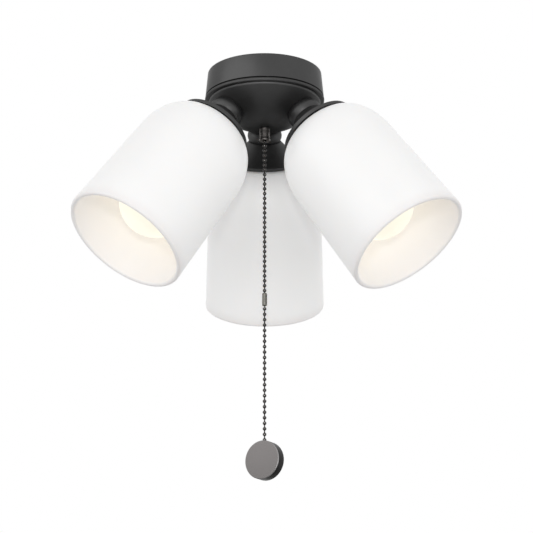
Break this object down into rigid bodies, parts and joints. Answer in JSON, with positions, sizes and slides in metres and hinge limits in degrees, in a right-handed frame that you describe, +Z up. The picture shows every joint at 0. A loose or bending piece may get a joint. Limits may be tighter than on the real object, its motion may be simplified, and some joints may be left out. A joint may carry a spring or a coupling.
{
  "type": "ceiling fan light kit",
  "caption": "Light kit for a ceiling fan: dark round canopy with tilted arms, flared cups, opal glass shades with lamps, and a pull chain switch with a bead chain and disc pull.",
  "frame": {"origin": "centre of the canopy's top rim, on the axis of the mounting nipple", "axes": "+Z up along the nipple, -Y to the front, midway between the two front arms"},
  "size_m": [0.3199, 0.2883, 0.3677],
  "materials": {
    "canopy_finish": "satin dark pewter paint",
    "cup_finish": "satin dark pewter paint",
    "opal_glass": "satin opal, the same through its wall",
    "gasket_rubber": "matt",
    "socket_plastic": "moulded, matt",
    "contact_brass": "plain brass",
    "lamp_base_metal": "rolled, bright",
    "lamp_glass": "frosted soft white",
    "zinc_steel": "zinc plated",
    "ground_green": "green",
    "switch_plastic": "moulded phenolic",
    "spring_steel": "bright drawn",
    "dark_bronze": "dark bronze, knurled",
    "chain_metal": "gunmetal, polished",
    "coupling_metal": "nickel, satin",
    "disc_finish": "satin pewter"
  },
  "bodies": {
    "canopy": {"canopy_drum": "canopy_finish", "fitter_pan": "canopy_finish", "mounting_strap": "zinc_steel", "ground_screw": "ground_green", "mounting_nipple": "zinc_steel", "nipple_locknuts": "zinc_steel", "star_washer": "zinc_steel", "arm_nipples": "zinc_steel", "arm_locknuts": "zinc_steel", "back_arm_collar": "cup_finish", "back_socket_cup": "cup_finish", "back_shade_gasket": "gasket_rubber", "back_glass_shade": "opal_glass", "back_shade_ring": "socket_plastic", "back_socket_body": "socket_plastic", "back_socket_shell": "contact_brass", "back_socket_contact": "contact_brass", "left_arm_collar": "cup_finish", "left_socket_cup": "cup_finish", "left_shade_gasket": "gasket_rubber", "left_glass_shade": "opal_glass", "left_shade_ring": "socket_plastic", "left_socket_body": "socket_plastic", "left_socket_shell": "contact_brass", "left_socket_contact": "contact_brass", "right_arm_collar": "cup_finish", "right_socket_cup": "cup_finish", "right_shade_gasket": "gasket_rubber", "right_glass_shade": "opal_glass", "right_shade_ring": "socket_plastic", "right_socket_body": "socket_plastic", "right_socket_shell": "contact_brass", "right_socket_contact": "contact_brass", "switch_case": "switch_plastic", "switch_cover": "switch_plastic", "rotor_pin": "spring_steel", "return_spring": "spring_steel", "switch_contacts": "contact_brass", "switch_bushing": "dark_bronze", "switch_nut": "dark_bronze", "bell_mouth": "dark_bronze"},
    "pull_chain": {"pull_chain_inner": "chain_metal"},
    "rotor": {"switch_rotor": "switch_plastic"},
    "upper_link": {"upper_link_bead": "chain_metal"},
    "upper_pull": {"upper_chain": "chain_metal", "chain_coupling": "coupling_metal", "coupling_bead": "chain_metal"},
    "lower_link": {"lower_link_bead": "chain_metal"},
    "lower_pull": {"lower_chain": "chain_metal"},
    "disc": {"pull_disc": "disc_finish", "disc_ferrule": "disc_finish"},
    "back_lamp": {"back_lamp_base": "lamp_base_metal", "back_lamp_globe": "lamp_glass"},
    "left_lamp": {"left_lamp_base": "lamp_base_metal", "left_lamp_globe": "lamp_glass"},
    "right_lamp": {"right_lamp_base": "lamp_base_metal", "right_lamp_globe": "lamp_glass"}
  },
  "joints": [
    {"name": "chain_pull", "type": "slide", "parent": "canopy", "child": "pull_chain", "axis": [0, 0, -1], "range_m": [0, 0.009], "stiffness_N_per_m": 400, "springref_m": -0.02},
    {"name": "rotor_turn", "type": "hinge", "parent": "canopy", "child": "rotor", "pos_m": [0.0059, 0, -0.036], "axis": [0, -1, 0], "range_deg": [0, 88]},
    {"name": "chain_swing_front", "type": "hinge", "parent": "pull_chain", "child": "upper_link", "pos_m": [0, 0, -0.0612], "axis": [1, 0, 0], "range_deg": [-40, 20]},
    {"name": "chain_swing_side", "type": "hinge", "parent": "upper_link", "child": "upper_pull", "pos_m": [0, 0, -0.0612], "axis": [0, 1, 0], "range_deg": [-15, 15]},
    {"name": "pull_swing_front", "type": "hinge", "parent": "upper_pull", "child": "lower_link", "pos_m": [0, 0, -0.20945], "axis": [1, 0, 0], "range_deg": [-30, 30]},
    {"name": "pull_swing_side", "type": "hinge", "parent": "lower_link", "child": "lower_pull", "pos_m": [0, 0, -0.20945], "axis": [0, 1, 0], "range_deg": [-30, 30]},
    {"name": "disc_twist", "type": "hinge", "parent": "lower_pull", "child": "disc", "pos_m": [0, 0, -0.33767], "axis": [0, 0, 1], "continuous": true},
    {"name": "back_lamp_out", "type": "slide", "parent": "canopy", "child": "back_lamp", "axis": [0, 0.5878, -0.809], "range_m": [0, 0.024]},
    {"name": "left_lamp_out", "type": "slide", "parent": "canopy", "child": "left_lamp", "axis": [-0.509, -0.2939, -0.809], "range_m": [0, 0.024]},
    {"name": "right_lamp_out", "type": "slide", "parent": "canopy", "child": "right_lamp", "axis": [0.5283, -0.2577, -0.809], "range_m": [0, 0.024]}
  ],
  "couplings": [
    {"joint": "rotor_turn", "follows": "chain_pull", "rad_per_m": 169.49}
  ]
}
